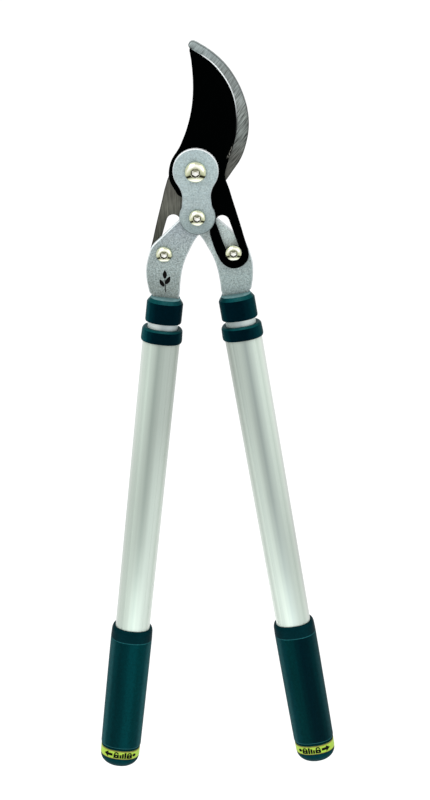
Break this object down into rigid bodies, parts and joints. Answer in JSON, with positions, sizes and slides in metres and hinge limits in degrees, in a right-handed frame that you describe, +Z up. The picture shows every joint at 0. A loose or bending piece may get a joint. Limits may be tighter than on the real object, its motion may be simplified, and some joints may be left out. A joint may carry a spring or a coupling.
{
  "type": "bypass loppers",
  "caption": "Compound-action bypass loppers: curved blade and hook on a link plate, slotted jaw arms driven by the handle brackets, telescopic tube handles with twist-lock end caps.",
  "frame": {"origin": "on the flush back face of the rear link plate, on the centre line and 20 mm below the main pivot axis, at the mount rear_plate_face", "axes": "+Z up the tool towards the jaws, +X to the right seen from the front, -Y out of the front face (the side of the bolt heads)"},
  "size_m": [0.2256, 0.0323, 0.6879],
  "materials": {
    "bracket_paint": "light bluish grey hammered metallic paint, satin",
    "blade_coating": "black non-stick coating, semi-gloss, bright ground cutting edge",
    "ground_steel": "ground bare steel with grinding lines",
    "plated_fastener": "bright nickel plating, slightly yellow",
    "tube_aluminium": "satin anodised, lengthwise drawn",
    "grip_teal": "dark teal soft grip, matt sheen",
    "collar_teal": "very dark teal moulded plastic",
    "band_lime": null,
    "inner_plastic": "black acetal",
    "bush_bronze": "plain bearing bronze"
  },
  "bodies": {
    "link": {"front_link_plate": "bracket_paint", "rear_link_plate": "bracket_paint", "main_pivot_bolt": "plated_fastener", "main_pivot_nut": "plated_fastener", "lower_pivot_bolt": "plated_fastener", "lower_pivot_nut": "plated_fastener"},
    "blade": {"cutting_blade": "blade_coating"},
    "hook": {"hook": "ground_steel"},
    "right_handle": {"right_bracket": "bracket_paint", "right_slide_bolt": "plated_fastener", "right_slide_bush": "bush_bronze", "right_slide_nut": "plated_fastener", "right_upper_collar": "collar_teal", "right_inner_tube": "tube_aluminium", "right_tang_plug": "inner_plastic", "right_tang_rivet": "plated_fastener", "right_guide_bush": "inner_plastic"},
    "right_grip": {"right_outer_tube": "tube_aluminium", "right_tube_ring": "collar_teal", "right_grip": "grip_teal", "right_rod_bearing": "inner_plastic", "right_lock_expander": "inner_plastic"},
    "right_twist": {"right_lock_rod": "plated_fastener", "right_lock_cone": "plated_fastener", "right_end_cap": "grip_teal", "right_colour_band": "band_lime"},
    "left_handle": {"left_bracket": "bracket_paint", "left_slide_bolt": "plated_fastener", "left_slide_bush": "bush_bronze", "left_slide_nut": "plated_fastener", "left_upper_collar": "collar_teal", "left_inner_tube": "tube_aluminium", "left_tang_plug": "inner_plastic", "left_tang_rivet": "plated_fastener", "left_guide_bush": "inner_plastic"},
    "left_grip": {"left_outer_tube": "tube_aluminium", "left_tube_ring": "collar_teal", "left_grip": "grip_teal", "left_rod_bearing": "inner_plastic", "left_lock_expander": "inner_plastic"},
    "left_twist": {"left_lock_rod": "plated_fastener", "left_lock_cone": "plated_fastener", "left_end_cap": "grip_teal", "left_colour_band": "band_lime"}
  },
  "joints": [
    {"name": "right_handle_pivot", "type": "hinge", "parent": "link", "child": "right_handle", "pos_m": [0, -0.01, -0.0178], "axis": [0, -1, 0], "range_deg": [0, 60]},
    {"name": "left_handle_pivot", "type": "hinge", "parent": "link", "child": "left_handle", "pos_m": [0, -0.0153, -0.0178], "axis": [0, 1, 0], "range_deg": [0, 60]},
    {"name": "blade_pivot", "type": "hinge", "parent": "link", "child": "blade", "pos_m": [0, -0.0153, 0.02], "axis": [0, -1, 0], "range_deg": [0, 30.7]},
    {"name": "hook_pivot", "type": "hinge", "parent": "link", "child": "hook", "pos_m": [0, -0.01, 0.02], "axis": [0, 1, 0], "range_deg": [0, 30.7]},
    {"name": "right_extend", "type": "slide", "parent": "right_handle", "child": "right_grip", "axis": [0.1392, 0, -0.9903], "range_m": [0, 0.25]},
    {"name": "right_cap_twist", "type": "hinge", "parent": "right_grip", "child": "right_twist", "pos_m": [0.09375, -0.01, -0.5469], "axis": [-0.1392, 0, 0.9903], "range_deg": [0, 60]},
    {"name": "left_extend", "type": "slide", "parent": "left_handle", "child": "left_grip", "axis": [-0.1392, 0, -0.9903], "range_m": [0, 0.25]},
    {"name": "left_cap_twist", "type": "hinge", "parent": "left_grip", "child": "left_twist", "pos_m": [-0.09375, -0.0153, -0.5469], "axis": [-0.1392, 0, -0.9903], "range_deg": [0, 60]}
  ],
  "couplings": [
    {"joint": "blade_pivot", "follows": "right_handle_pivot", "ratio": 0.511},
    {"joint": "hook_pivot", "follows": "left_handle_pivot", "ratio": 0.511}
  ]
}
